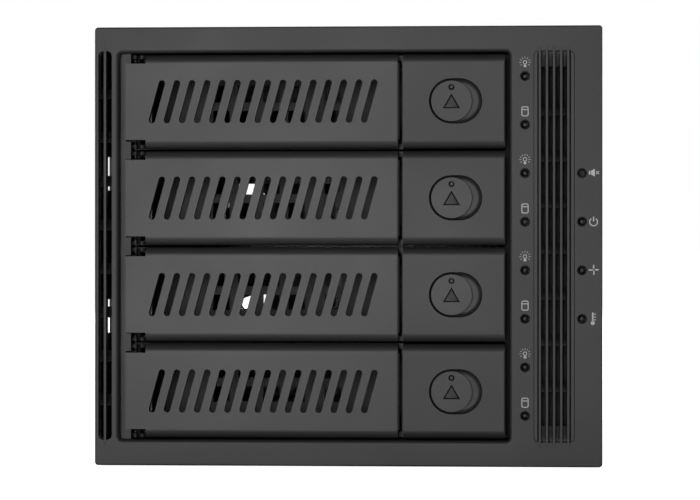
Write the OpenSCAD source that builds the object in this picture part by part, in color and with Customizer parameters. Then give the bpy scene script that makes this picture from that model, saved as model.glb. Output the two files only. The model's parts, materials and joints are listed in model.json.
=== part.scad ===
// Four-row hot-swap drive module that fills three 5.25 inch bays.
// The front faces -Y and up is +Z. The origin is the middle of the underside.
// "dep" is always the distance behind the flat face of the bezel.

/* [Overall] */
// Width of the bezel, the 5.25 inch device width
bezel_w = 146; // [146:0.1:146.4]
// Height of the bezel, three half-height bays
bezel_h = 126.4; // [126.2:0.1:126.8]
// Depth from the grille ribs to the heads of the rear screws
overall_d = 220; // [220:1:240]

/* [Rows] */
// Distance between the centres of two trays
row_pitch = 27.785; // [27.7:0.005:27.8]
// Height of a tray front
front_h = 27.1; // [26.9:0.05:27.2]
// Roundness of the top and bottom edges of a tray front
front_r = 2.4; // [1.5:0.1:2.4]

/* [Door] */
// Thickness of the door panel
panel_t = 2.4; // [2.2:0.1:2.4]
// Number of slanted vents in a door
slot_count = 15; // [9:1:15]
// Distance between two vents
slot_pitch = 4.377; // [4.3:0.01:4.4]
// Height of a vent
slot_h = 12.45; // [8:0.05:14]
// Lean of a vent to the right
slot_lean = 15.3; // [0:0.1:16]
// Radius of the hinge pin
pin_r = 0.9; // [0.8:0.05:1]

/* [Latch] */
// Radius of the latch disc
disc_r = 5.8; // [5:0.1:6.2]
// Travel of the latch
latch_travel = 1.5; // [1:0.1:1.6]

/* [Fan] */
// Side of the square fan
fan_size = 80; // [80:1:80]
// Number of fan blades
blade_count = 9; // [5:1:9]

/* [Hidden] */
$fn = 48;
cut = 0.5;
gap = 0.05;

rib_proud = 0.4;
face_y = rib_proud - overall_d / 2;
mid_z = bezel_h / 2;
half_w = bezel_w / 2;
half_h = front_h / 2;

// Bezel moulding
bezel_d = 12;
face_t = 2.6;
outer_wall = 1.06;
corner_r = 1;
edge_r = 0.5;
open_x0 = -66.1;
open_x1 = 46.5;
open_z0 = mid_z - 55.8;
open_z1 = mid_z + 55.8;
open_fillet = 1;
collar_t = 1.2;
ledge_x1 = -64.6;
ledge_dep = 4.5;
tooth_x1 = -63.1;
tooth_play = 0.3;
lap = 0.2;
wall_z = 1.6;
boss_r = 1.9;
pilot_r = 0.85;
pilot_dep = 5;
clip_half = 5;
clip_t = 1.5;
clip_play = 0.4;

// Vents in the bezel
side_x0 = -half_w + outer_wall;
side_x1 = -68.02;
side_z0 = 7.35;
side_z1 = 119.54;
side_r = 1.5;
grille_x0 = 53.36;
grille_x1 = 65.07;
grille_z0 = 7.07;
grille_z1 = 119.2;
grille_r = 1.5;
rib_w = 0.7;
rib_count = 5;
rib_first_x = 55.12;
rib_pitch = 2.03;
side_plate_z = [3, 123.4];
side_plate_t = 1.2;
side_louvre_top = 105.8;
side_louvre_count = 8;
side_rib_z = [6, 120.5];
seam = 0.12;
flange_z = [4.5, 121.8];
rib_z0 = 5.7;
rib_z1 = 120.4;
tip_h = 1;
strip_w = 1.1;
floor_dep = 1.6;
floor_back = 2.8;
flange_back = 3.8;
slot_z0 = 11.77;
slot_z1 = 114.66;
louvre_h = 3.2;
louvre_d = 4.2;
louvre_pitch = 12.65;
lip_dep = 1;
lip_pitch = 13.2;
lip_top_z = 100.7;
lip_count = 7;
lip_lap = 1;
louvre_dep = [3.2, 3.8];
plate_t = 1;

// Indicator holes and their light pipes
lamp_x = 50.9;
status_x = 67.14;
lamp_r = 1.1;
lamp_bevel = [0.4, 0.8];
pipe_r = 1;
pipe_dep = 8;
lens_r = 0.45;
lens_dep = 1.6;
led_half = 0.6;
led_h = 0.9;
link_dep = [9.5, 11.5];
link_half = 0.8;
lamp_top_z = 111.92;
lamp_pitch = row_pitch / 2;
mute_z = 84.08;
board_t = 1.6;
ind_dep = 14;
ind_screw_x = [49.8, 69.4];
ind_screw_z = [5.5, 120.9];
ind_screw_r = 0.8;
ind_head_r = 1.9;
switch_half = 3;
switch_h = 3.6;
plunger_dep = 3.4;
collar_dep = [8, 8.8];
collar_r = 1.8;

// Cage of sheet steel
sheet_t = 1;
cage_dep = 12.1;
side_out = 72.75;
side_z_lo = 0.7;
side_z_hi = 125.7;
rear_dep = overall_d - rib_proud - 3.6;
flange_w = 7;
bay_h = 42.3;
m3_r = 1.5;
m3_head_r = 2.75;
cross_half = 1.5;
cross_w = 0.5;
side_hole_dep = [cage_dep + 47.4, cage_dep + 126.65];
side_hole_rise = [10, 21.84];
sink_r = 2.6;
shank_r = 1.4;
cover_screw_x = 68.5;
cover_screw_dep = [32, rear_dep - 16];
rear_screw_dep = rear_dep - 5;
rear_screw_z = [20, 106];
clip_x = [-50, 30];
peg_dep = [46, 160];
peg_h = 8;
peg_half = 0.6;
peg_x = [-63.95, 46.4];
peg_play = 0.2;
guide_dep = [14, 188];
guide_slots = [30, 72, 114];
guide_slot_l = 30;

// Trays
drive_w = 102.2;
tray_cx = -8.6;
tray_wall = 2.5;
tray_base_t = 1;
frame_dep = 38.2;
tray_end = 185.8;
rail_z0 = 0.8;
rail_h = 2.4;
rail_play = 0.4;
groove_d = 1.3;
drive_hole_dep = [55.4, 157];
drive_hole_z = -6.15;
tongue_x = [-60.3, 43];
tongue_t = 0.9;
bar_dep = [38.2, 105, 171.8];
bar_w = 14;
frame_z = [-13.5, 7.5];
tongue_half = 5;
tongue_l = 8;
drive_head_r = 3.6;
drive_shank_r = 1.8;
tray_x0 = tray_cx - drive_w / 2 - tray_wall;
tray_x1 = tray_cx + drive_w / 2 + tray_wall;

// Tray front and door
block_x0 = 15.95;
block_x1 = 45.3;
door_x0 = -64;
door_x1 = 15;
notch_x = -58.27;
tab_half = 11;
hinge_x = -60.4;
hinge_dep = 2.6;
barrel_r = 2.2;
lug_r = 1.95;
lug_t = 1;
lug_mouth = 1.3;
flange_dep = 5.5;
flange_t = 1.5;
wing_dep = 7.2;
wing_x0 = -62.4;
wing_side_dep = 11;
nick_w = 0.5;
nick_h = 2.6;
wall_t = 1.5;
keeper_z = 5.6;
keeper_t = 1.4;
stop_dep = [3.5, 10];
block_end_r = 0.5;
door_end_r = 0.8;
window_x = [-40, -32.4, -24.8, -17.2, -6.2];
window_w = 5;
window_z = [[-5.4, -0.7], [1.8, 6.9]];
ring_at = [[-51.9, 3], [-10.4, 0.8]];
ring_r = [1.75, 2.1];
back_wall = 2;
slot_r = 0.95;
slot_x = -54.95;

// Latch
disc_x = 29.9;
disc_dep = 0.15;
disc_back = 1.6;
neck_r = 3;
well_r = 6.5;
well_shift = 2.3;
well_dep = 1.9;
well_cove = 1.5;
block_t = 2.8;
slide_dep = 2.9;
slide_t = 1.2;
slide_half = 7.4;
slide_x = [20.4, 39.8];
tongue_half_z = 2.4;
slot_half_z = 3;
post_x = [31, 33];
post_dep = 10;
mark_rise = 3.95;
mark_r = [0.38, 0.9];
arrow_w = 5;
arrow_h = 4.3;
arrow_dep = 0.35;
arrow_curve = 20;
arrow_groove = 1.5;
arrow_line = 0.42;
spring_dep = 6.6;
spring_x0 = 33.4;
spring_r = 1.5;
spring_wire = 0.28;

// Backplane and fan
back_dep = 191.5;
socket_x = tray_cx + 20.7;
socket_w = 44;
socket_z = [-11.6, -5];
contact_z = [-9.2, -6.6];
key_z = -10.6;
key_w = 1.4;
fan_x = -20;
fan_t = 20;
fan_dep = rear_dep - fan_t;
fan_bore = 38.4;
fan_hole = 71.5 / 2;
shaft_r = 1.5;
hub_r = 15.5;
stand_x = [-60, 66];
stand_z = [8, 118];
stand_r = 2.9;
port_half = [7.2, 2.8];
port_end = 11;
power_half = [4.6, 11.5];
power_end = 16;
power_pitch = 5.08;
buzzer_r = 6;
buzzer_end = 8;
ribbon_x = [58.6, 59.5];
ribbon_z = [81, 94];
header_x = [24, 32];
header_z = [110, 115];
header_end = 8;
fan_wire_z = 98;
plug_z = 113;
wire_r = 0.5;
wire_pitch = [2, 1.1];
frame_plate_t = 3;
strut_t = 2.4;
boss_out = 4.5;
bearing_r = 3.08;
guard_r = 0.75;
guard_rings = [8, 16, 24, 32];
port_x = 38;
power_x = 58;
power_rise = 27;

function row_z(i) = mid_z + (1.5 - i) * row_pitch;
function rib_x(i) = rib_first_x + i * rib_pitch;

// Box between two corners, depths counted from the bezel face
module block(x0, x1, d0, d1, z0, z1)
    translate([x0, face_y + d0, z0])
        cube([x1 - x0, d1 - d0, z1 - z0]);

// Flat plate parallel to the face, cut from an outline in X and Z
module sheet(d0, d1)
    translate([0, face_y + d1, 0])
        rotate([90, 0, 0])
            linear_extrude(d1 - d0)
                children();

// Bar along X with a section drawn in depth and Z
module bar(x0, x1)
    translate([x0, face_y, 0])
        rotate([90, 0, 90])
            linear_extrude(x1 - x0)
                children();

// Round rod along the depth
module rod(x, z, d0, d1, r, r_front = -1)
    translate([x, face_y + d1, z])
        rotate([90, 0, 0])
            cylinder(h = d1 - d0, r1 = r, r2 = r_front < 0 ? r : r_front);

// Round rod along X, from x0 to x1
module cross_rod(x0, x1, dep, z, r0, r1)
    translate([x0, face_y + dep, z])
        rotate([0, 90, 0])
            cylinder(h = x1 - x0, r1 = r0, r2 = r1);

module round_rect(x0, x1, z0, z1, r) {
    translate([x0 + r, z0])
        square([x1 - x0 - 2 * r, z1 - z0]);
    translate([x0, z0 + r])
        square([x1 - x0, z1 - z0 - 2 * r]);
    for (x = [x0 + r, x1 - r], z = [z0 + r, z1 - r])
        translate([x, z])
            circle(r);
}

// ---------------------------------------------------------------- bezel

// What rounding an edge with radius r takes away; both ways along the section the same
module fillet_section(r)
    difference() {
        translate([-cut, -cut])
            square(r + cut);
        translate([r, r])
            circle(r);
    }

// Rounds the front edge of a rectangle; side is 1 for an opening and -1 for an outline
module edge_rounding(x0, x1, z0, z1, r, side) {
    for (s = [-1, 1]) {
        translate([s < 0 ? x0 : x1, face_y, z0 + corner_r])
            linear_extrude(z1 - z0 - 2 * corner_r)
                mirror([s * side < 0 ? 1 : 0, 0])
                    fillet_section(r);
        bar(x0 + corner_r, x1 - corner_r)
            translate([0, s < 0 ? z0 : z1])
                mirror([0, s * side < 0 ? 1 : 0])
                    fillet_section(r);
    }
    for (turn = [0:3])
        translate([turn == 0 || turn == 3 ? x1 - corner_r : x0 + corner_r, face_y,
                   turn < 2 ? z1 - corner_r : z0 + corner_r])
            rotate([-90, 0, 0])
                rotate([0, 0, -90 - 90 * turn])
                    rotate_extrude(angle = 90)
                        translate([corner_r, 0])
                            mirror([side < 0 ? 1 : 0, 0])
                                fillet_section(r);
}

// Rounds the upright front edge at the right end of a tray front or a door
module end_rounding(x, z, r)
    translate([x, face_y, z - half_h - cut])
        linear_extrude(front_h + 2 * cut)
            mirror([1, 0])
                fillet_section(r);

module lamp_hole(x, z) {
    rod(x, z, -cut, face_t + cut, lamp_r);
    rod(x, z, -cut, lamp_bevel[0], lamp_r, lamp_r + lamp_bevel[1]);
}

// Hook that snaps into a slot in the top or the bottom cover
module bezel_clip(x, top) {
    z0 = top ? side_z_hi - sheet_t - clip_t - gap : side_z_lo + sheet_t + gap;
    root = bezel_d - 3;
    block(x - clip_half, x + clip_half, root, bezel_d + 9, z0, z0 + clip_t);
    block(x - clip_half, x + clip_half, root, bezel_d, top ? z0 : 1, top ? bezel_h - 1 : z0 + clip_t);
    block(x - clip_half, x + clip_half, bezel_d + 6, bezel_d + 8, top ? z0 + 1 : z0 - 0.9,
          top ? z0 + 2.4 : z0 + cut);
}

module bezel()
    color("#2c2c2e") {
        difference() {
            union() {
                difference() {
                    sheet(0, bezel_d)
                        round_rect(-half_w, half_w, 0, bezel_h, corner_r);
                    block(side_x0, half_w - outer_wall, face_t, bezel_d + cut, wall_z, bezel_h - wall_z);
                }
                block(open_x0 - collar_t, open_x1 + collar_t, 1, bezel_d,
                      open_z0 - collar_t, open_z1 + collar_t);
                for (x = ind_screw_x, z = ind_screw_z)
                    rod(x, z, face_t - lap, ind_dep - gap, boss_r);
            }
            sheet(-cut, bezel_d + cut)
                round_rect(open_x0, open_x1, open_z0, open_z1, corner_r);
            edge_rounding(open_x0, open_x1, open_z0, open_z1, open_fillet, 1);
            edge_rounding(-half_w, half_w, 0, bezel_h, edge_r, -1);
            sheet(-cut, face_t + cut)
                round_rect(side_x0, side_x1, side_z0, side_z1, side_r);
            sheet(-cut, face_t + cut)
                round_rect(grille_x0, grille_x1, grille_z0, grille_z1, grille_r);
            for (i = [0:7])
                lamp_hole(lamp_x, lamp_top_z - i * lamp_pitch);
            for (i = [2:5])
                lamp_hole(status_x, lamp_top_z - i * lamp_pitch);
            for (x = ind_screw_x, z = ind_screw_z)
                rod(x, z, pilot_dep, ind_dep + cut, pilot_r);
        }
        // ledge beside the doors, with a tooth above and below each hinge
        block(open_x0 - lap, ledge_x1, ledge_dep, bezel_d, open_z0 - lap, open_z1 + lap);
        for (i = [0:4]) {
            z = mid_z + (i - 2) * row_pitch;
            reach = row_pitch / 2 - tab_half - tooth_play;
            block(ledge_x1 - lap, tooth_x1, ledge_dep, bezel_d, max(z - reach, open_z0 - lap),
                  min(z + reach, open_z1 + lap));
        }
        for (x = clip_x) {
            bezel_clip(x, true);
            bezel_clip(x, false);
        }
    }

// Upright rib whose pointed ends lap over the bezel face
module rib(x, z0, z1, d1) {
    sheet(-rib_proud, -0.02)
        polygon([
            [x - rib_w / 2, z0 + tip_h], [x, z0], [x + rib_w / 2, z0 + tip_h],
            [x + rib_w / 2, z1 - tip_h], [x, z1], [x - rib_w / 2, z1 - tip_h]
        ]);
    block(x - rib_w / 2, x + rib_w / 2, -rib_proud, d1, z0 + 2.2, z1 - 2.2);
}

// Sloping bar that hides what lies behind a vent
module louvre(x0, x1, d0, z)
    bar(x0, x1)
        polygon([[d0, z], [d0 + 1.2, z], [d0 + louvre_d, z + louvre_h - 1.2], [d0 + louvre_d, z + louvre_h]]);

// Louvre that runs up behind the lip of the next one, with room for air between them
module long_louvre(x0, x1, z)
    bar(x0, x1)
        polygon([
            [lip_dep, z], [lip_dep + 0.6, z + 2.2], [louvre_dep[0], z + 4],
            [louvre_dep[1], z + lip_pitch + lip_lap],
            [louvre_dep[1] + plate_t, z + lip_pitch + lip_lap], [louvre_dep[0] + plate_t, z + 4],
            [lip_dep + 1.2, z]
        ]);

module side_vent_grille()
    color("#29292b") {
        difference() {
            block(side_x0 + gap, open_x0 - collar_t - gap, face_t + gap, face_t + side_plate_t,
                  side_plate_z[0], side_plate_z[1]);
            sheet(face_t - cut, face_t + side_plate_t + cut)
                round_rect(side_x0 + lap, side_x1, side_z0, side_z1, side_r);
        }
        rib((side_x0 + side_x1) / 2, side_rib_z[0], side_rib_z[1], face_t + side_plate_t);
        for (i = [0:side_louvre_count - 1])
            louvre(side_x0 + 2 * gap, side_x1 - 2 * gap, lip_dep, side_louvre_top - i * louvre_pitch);
    }

module front_vent_grille()
    color("#29292b") {
        difference() {
            union() {
                sheet(gap, floor_back)
                    round_rect(grille_x0 + seam, grille_x1 - seam, grille_z0 + seam, grille_z1 - seam,
                               grille_r - seam);
                block(grille_x0 - strip_w, grille_x1 + 0.8, face_t + gap, flange_back, flange_z[0],
                      flange_z[1]);
            }
            block(grille_x0 + strip_w, grille_x1 - strip_w, -cut, floor_dep, rib_z0, rib_z1);
            for (i = [0:rib_count - 2])
                block(rib_x(i) + rib_w / 2, rib_x(i + 1) - rib_w / 2, -cut, flange_back + cut, slot_z0,
                      slot_z1);
        }
        for (i = [0:rib_count - 1])
            rib(rib_x(i), rib_z0, rib_z1, flange_back);
        for (i = [0:lip_count - 1])
            long_louvre(rib_x(0), rib_x(rib_count - 1), lip_top_z - i * lip_pitch);
        block(rib_x(0), rib_x(rib_count - 1), louvre_dep[0], louvre_dep[0] + plate_t,
              slot_z0 - lap, lip_top_z - (lip_count - 1) * lip_pitch + lip_lap);
    }

// ---------------------------------------------------------------- indicators

// Rod that carries the light of one LED to a small lens in its hole
module light_pipe(x, z) {
    rod(x, z, pipe_dep, ind_dep - 1.1, pipe_r);
    rod(x, z, lens_dep, pipe_dep + lap, lens_r + lap / 2, lens_r);
}

module bay_light_pipes()
    color("#dfe6ea") {
        for (i = [0:7])
            light_pipe(lamp_x, lamp_top_z - i * lamp_pitch);
        block(lamp_x - link_half, lamp_x + link_half, link_dep[0], link_dep[1],
              lamp_top_z - 7 * lamp_pitch, lamp_top_z);
    }

module status_light_pipes()
    color("#dfe6ea") {
        for (i = [3:5])
            light_pipe(status_x, lamp_top_z - i * lamp_pitch);
        block(status_x - link_half, status_x + link_half, link_dep[0], link_dep[1],
              lamp_top_z - 5 * lamp_pitch, lamp_top_z - 3 * lamp_pitch);
    }

module indicator_board()
    color("#1d5a34")
        difference() {
            sheet(ind_dep, ind_dep + board_t)
                difference() {
                    round_rect(48, 71.4, 3.2, bezel_h - 3.2, 1);
                    round_rect(53, 65, 10, 76, 1);
                    round_rect(53, 65, 99, 116, 1);
                }
            for (x = ind_screw_x, z = ind_screw_z)
                rod(x, z, ind_dep - cut, ind_dep + board_t + cut, 1.2);
        }

module led(x, z)
    block(x - led_h, x + led_h, ind_dep - led_h, ind_dep - gap / 5, z - led_half, z + led_half);

module indicator_leds()
    color("#f2ead0") {
        for (i = [0:7])
            led(lamp_x, lamp_top_z - i * lamp_pitch);
        for (i = [3:5])
            led(status_x, lamp_top_z - i * lamp_pitch);
    }

module indicator_screws()
    color("#c9c9c6")
        for (x = ind_screw_x, z = ind_screw_z) {
            back = ind_dep + board_t;
            rod(x, z, pilot_dep + 2, back + lap, ind_screw_r);
            difference() {
                rod(x, z, back + gap / 5, back + cross_half, ind_head_r - lap / 2, ind_head_r);
                block(x - cross_w / 2, x + cross_w / 2, back + cross_w + 0.4, back + 2, z - 1.2, z + 1.2);
            }
        }

module mute_switch()
    color("#1a1a1c")
        difference() {
            block(status_x - switch_half, status_x + switch_half, ind_dep - switch_h, ind_dep - gap / 5,
                  mute_z - switch_half, mute_z + switch_half);
            rod(status_x, mute_z, ind_dep - switch_h - cut, ind_dep - 1.2, pipe_r);
        }

module mute_plunger()
    color("#3c3c3c") {
        rod(status_x, mute_z, plunger_dep, ind_dep - 2, pipe_r - gap);
        rod(status_x, mute_z, collar_dep[0], collar_dep[1], collar_r);
    }

// ---------------------------------------------------------------- cage

// Side sheet with folded flanges; side is -1 for left and 1 for right
module side_panel(side)
    difference() {
        union() {
            block(side < 0 ? -side_out : side_out - sheet_t, side < 0 ? -side_out + sheet_t : side_out,
                  cage_dep, rear_dep - 0.1, side_z_lo, side_z_hi);
            for (z = [side_z_lo + sheet_t + gap, side_z_hi - 2 * sheet_t - gap])
                block(side < 0 ? -side_out + sheet_t / 2 : side_out - flange_w,
                      side < 0 ? -side_out + flange_w : side_out - sheet_t / 2,
                      cage_dep + 14, rear_dep - 12, z, z + sheet_t);
        }
        for (bay = [0:2], rise = side_hole_rise, dep = side_hole_dep)
            cross_rod(side * side_out - 2, side * side_out + 2, dep, side_z_lo + bay * bay_h + rise, m3_r,
                      m3_r);
        for (bay = [1:2])
            block(side * side_out - 2, side * side_out + 2, cage_dep + 3, cage_dep + 15,
                  side_z_lo + bay * bay_h - 5.5, side_z_lo + bay * bay_h + 4.5);
        for (z = rear_screw_z)
            cross_rod(side < 0 ? -side_out - 0.01 : side_out - sheet_t - 0.01,
                      side < 0 ? -side_out + sheet_t + 0.01 : side_out + 0.01, rear_screw_dep, z,
                      side < 0 ? sink_r + gap : m3_r + gap, side < 0 ? m3_r + gap : sink_r + gap);
        for (dep = cover_screw_dep)
            translate([side * cover_screw_x, face_y + dep, -cut])
                cylinder(h = bezel_h + 1, r = m3_r);
    }

module left_side_panel() color("#262628") side_panel(-1);

module right_side_panel() color("#262628") side_panel(1);

// Flat cover; the countersinks open upwards when top is true
module cover(z0, top)
    difference() {
        block(-side_out + sheet_t + gap, side_out - sheet_t - gap, cage_dep, rear_dep - 0.1, z0,
              z0 + sheet_t);
        for (x = clip_x)
            block(x - clip_half - clip_play, x + clip_half + clip_play, bezel_d + 6 - clip_play,
                  bezel_d + 8 + clip_play, z0 - cut, z0 + sheet_t + cut);
        for (x = peg_x, dep = peg_dep)
            block(x - peg_half - peg_play, x + peg_half + peg_play, dep - peg_play, dep + peg_h + peg_play,
                  z0 - cut, z0 + sheet_t + cut);
        for (x = [-cover_screw_x, cover_screw_x], dep = cover_screw_dep)
            translate([x, face_y + dep, z0 - 0.01])
                cylinder(h = sheet_t + 0.02, r1 = gap + (top ? m3_r : sink_r),
                         r2 = gap + (top ? sink_r : m3_r));
    }

module top_cover() color("#262628") cover(side_z_hi - sheet_t, true);

module bottom_cover() color("#262628") cover(side_z_lo, false);

module rear_panel()
    color("#262628")
        difference() {
            union() {
                sheet(rear_dep, rear_dep + sheet_t)
                    round_rect(-side_out + 0.1, side_out - 0.1, side_z_lo + 0.1, side_z_hi - 0.1, 1);
                for (x = [-side_out + sheet_t + gap, side_out - 2 * sheet_t - gap])
                    block(x, x + sheet_t, rear_dep - 10, rear_dep + 0.1, 5, bezel_h - 5);
            }
            rod(fan_x, mid_z, rear_dep - cut, rear_dep + 2, fan_bore - 0.4);
            for (x = fan_hole * [-1, 1], z = fan_hole * [-1, 1])
                rod(fan_x + x, mid_z + z, rear_dep - cut, rear_dep + 2, 2.2);
            sheet(rear_dep - cut, rear_dep + 2)
                round_rect(26, 64, 14, bezel_h - 14, 2);
            for (x = stand_x, z = stand_z)
                rod(x, z, rear_dep - cut, rear_dep + 2, m3_r + 0.1);
            for (x = [-side_out, side_out], z = rear_screw_z)
                cross_rod(x - 4, x + 4, rear_screw_dep, z, m3_r, m3_r);
        }

// Countersunk screw pointing down the Z axis from its flat head
module sunk_screw() {
    translate([0, 0, -sheet_t])
        cylinder(h = sheet_t, r1 = m3_r, r2 = sink_r);
    translate([0, 0, -4])
        cylinder(h = 3.1, r = shank_r);
}

module sunk_screw_slotted()
    difference() {
        sunk_screw();
        for (a = [0, 90])
            rotate([0, 0, a])
                translate([-1.5, -0.25, -0.6])
                    cube([3, 0.5, 1]);
    }

module cage_screws()
    color("#b9b9b4") {
        for (x = [-cover_screw_x, cover_screw_x], dep = cover_screw_dep) {
            translate([x, face_y + dep, side_z_hi])
                sunk_screw_slotted();
            translate([x, face_y + dep, side_z_lo])
                rotate([180, 0, 0])
                    sunk_screw_slotted();
        }
        for (side = [-1, 1], z = rear_screw_z)
            translate([side * side_out, face_y + rear_screw_dep, z])
                rotate([0, side * 90, 0])
                    sunk_screw_slotted();
    }

// Upright guide plate from x0 to x1, with rails that reach to rail_x0 and rail_x1
module guide(x0, x1, rail_x0, rail_x1)
    difference() {
        union() {
            block(x0, x1, guide_dep[0], guide_dep[1],
                  side_z_lo + sheet_t + 2 * gap, side_z_hi - sheet_t - 2 * gap);
            for (i = [0:3])
                block(rail_x0, rail_x1, frame_dep + 3, guide_dep[1], row_z(i) + rail_z0,
                      row_z(i) + rail_z0 + rail_h);
            for (dep = peg_dep)
                block((x0 + x1) / 2 - peg_half, (x0 + x1) / 2 + peg_half, dep, dep + peg_h,
                      side_z_lo + peg_play, side_z_hi - peg_play);
        }
        for (i = [0:3], dep = guide_slots)
            block(x0 - cut, x1 + cut, dep, dep + guide_slot_l, row_z(i) - 9, row_z(i) - 1.5);
    }

module left_guide() color("#303032") guide(-65.2, -62.7, -62.8, tray_x0 + groove_d - rail_play);

module right_guide() color("#303032") guide(45.4, 47.4, tray_x1 - groove_d + rail_play, 45.5);

// ---------------------------------------------------------------- backplane

module backplane_board()
    color("#1d5a34")
        difference() {
            sheet(back_dep, back_dep + board_t)
                difference() {
                    round_rect(-64, 70, 4, bezel_h - 4, 1.5);
                    for (i = [0:3]) {
                        round_rect(-55, -14, row_z(i) - 9, row_z(i) + 9, 2);
                        round_rect(-8, 32, row_z(i) - 3, row_z(i) + 9, 2);
                    }
                }
            for (x = stand_x, z = stand_z)
                rod(x, z, back_dep - cut, back_dep + board_t + cut, m3_r + 0.1);
        }

// Combined data and power socket that takes the edge connector of a drive
module drive_socket(z)
    difference() {
        block(socket_x - socket_w / 2, socket_x + socket_w / 2, tray_end + 0.4, back_dep - gap / 5,
              z + socket_z[0], z + socket_z[1]);
        for (x = [[-20, -0.8], [4, 4 + 10.4]])
            block(socket_x + x[0], socket_x + x[1], tray_end, back_dep - 1.2, z + contact_z[0],
                  z + contact_z[1]);
        for (x = [-20, 13])
            block(socket_x + x, socket_x + x + key_w, tray_end, back_dep - 1.2, z + key_z, z + contact_z[1]);
    }

module drive_sockets()
    color("#151517")
        for (i = [0:3])
            drive_socket(row_z(i));

module data_ports()
    color("#a32a22")
        for (i = [0:3]) {
            z = row_z(i);
            difference() {
                block(port_x - port_half[0], port_x + port_half[0], back_dep + board_t + gap / 5,
                      back_dep + port_end, z - port_half[1], z + port_half[1]);
                block(port_x - port_half[0] + 1, port_x + port_half[0] - 1, back_dep + 3.6,
                      back_dep + port_end + 1,
                      z - 1.9, z + 1.9);
            }
            block(port_x - 5.2, port_x + 4, back_dep + 3.5, back_dep + port_end - 1, z - 0.6, z + 0.6);
            block(port_x + 4, port_x + 5.2, back_dep + 3.5, back_dep + port_end - 1, z - 0.6, z + 1.4);
        }

module power_inlets()
    color("#e6e2d4")
        for (z = [mid_z - power_rise, mid_z + power_rise]) {
            difference() {
                block(power_x - power_half[0], power_x + power_half[0], back_dep + board_t + gap / 5,
                      back_dep + power_end, z - power_half[1], z + power_half[1]);
                block(power_x - power_half[0] + 1.2, power_x + power_half[0] - 1.2, back_dep + 4,
                      back_dep + power_end + 1, z - power_half[1] + 1.2, z + power_half[1] - 1.2);
            }
            for (k = [-1.5:1:1.5])
                rod(power_x, z + k * power_pitch, back_dep + 3.5, back_dep + power_end - 2, 1.05);
        }

module alarm_buzzer()
    color("#111113")
        difference() {
            rod(power_x, mid_z, back_dep + board_t + gap / 5, back_dep + buzzer_end, buzzer_r);
            rod(power_x, mid_z, back_dep + buzzer_end - 1, back_dep + buzzer_end + 1, 1);
        }

module board_standoffs()
    color("#c8a34c")
        for (x = stand_x, z = stand_z)
            difference() {
                translate([x, face_y + rear_dep - gap / 5, z])
                    rotate([90, 0, 0])
                        cylinder(h = rear_dep - back_dep - board_t - 2 * gap / 5, r = stand_r, $fn = 6);
                rod(x, z, back_dep, rear_dep + cut, m3_r);
            }

// Two crossed grooves in the head of a screw along the depth
module cross_recess(x, z, d0, d1, half, w) {
    block(x - half, x + half, d0, d1, z - w / 2, z + w / 2);
    block(x - w / 2, x + w / 2, d0, d1, z - half, z + half);
}

module board_screws()
    color("#b9b9b4")
        for (x = stand_x, z = stand_z) {
            out = rear_dep + sheet_t;
            difference() {
                rod(x, z, back_dep - 1.9, back_dep - gap / 5, m3_head_r, m3_head_r - 0.35);
                cross_recess(x, z, back_dep - 3, back_dep - 1.2, cross_half, cross_w);
            }
            rod(x, z, back_dep - cut, back_dep + 7, shank_r);
            difference() {
                rod(x, z, out + gap / 5, out + 1.9, m3_head_r);
                cross_recess(x, z, out + 1.2, out + 3, cross_half, cross_w);
            }
            rod(x, z, rear_dep - 6, out + cut, shank_r);
        }

module ribbon_cable()
    color("#7d7f84") {
        plug = [ribbon_x[0] - 2, ribbon_x[1] + 2];
        block(ribbon_x[0], ribbon_x[1], ind_dep + 8, back_dep - 6, ribbon_z[0], ribbon_z[1]);
        for (d = [[ind_dep + board_t + gap / 5, ind_dep + 9], [back_dep - 7, back_dep - gap / 5]])
            block(plug[0], plug[1], d[0], d[1], ribbon_z[0] - cross_half, ribbon_z[1] + cross_half);
    }

module fan_header()
    color("#e6e2d4")
        difference() {
            block(header_x[0], header_x[1], back_dep + board_t + gap / 5, back_dep + header_end,
                  header_z[0], header_z[1]);
            block(header_x[0] + 0.8, header_x[1] - 0.8, back_dep + 3, back_dep + header_end + 1,
                  header_z[0] + 0.8, header_z[1] + 1);
        }

// Three wires from the side of the fan, up and forwards into the header
module fan_cable()
    color("#1c1c1e")
        for (k = [0:2]) {
            dep = back_dep + 9.5 + k * wire_pitch[1];
            x = header_x[0] + 2 + k * wire_pitch[0];
            cross_rod(fan_x + fan_size / 2 + 0.7, x, dep, fan_wire_z, wire_r, wire_r);
            translate([x, face_y + dep, fan_wire_z])
                cylinder(h = plug_z - fan_wire_z, r = wire_r);
            rod(x, plug_z, back_dep + 4, dep, wire_r);
            for (z = [fan_wire_z, plug_z])
                translate([x, face_y + dep, z])
                    sphere(wire_r);
        }

// ---------------------------------------------------------------- fan

// Puts a shape drawn about the Z axis on the fan's axis, Z running backwards
module on_fan_axis(dep)
    translate([fan_x, face_y + dep, mid_z])
        rotate([-90, 0, 0])
            children();

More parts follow.
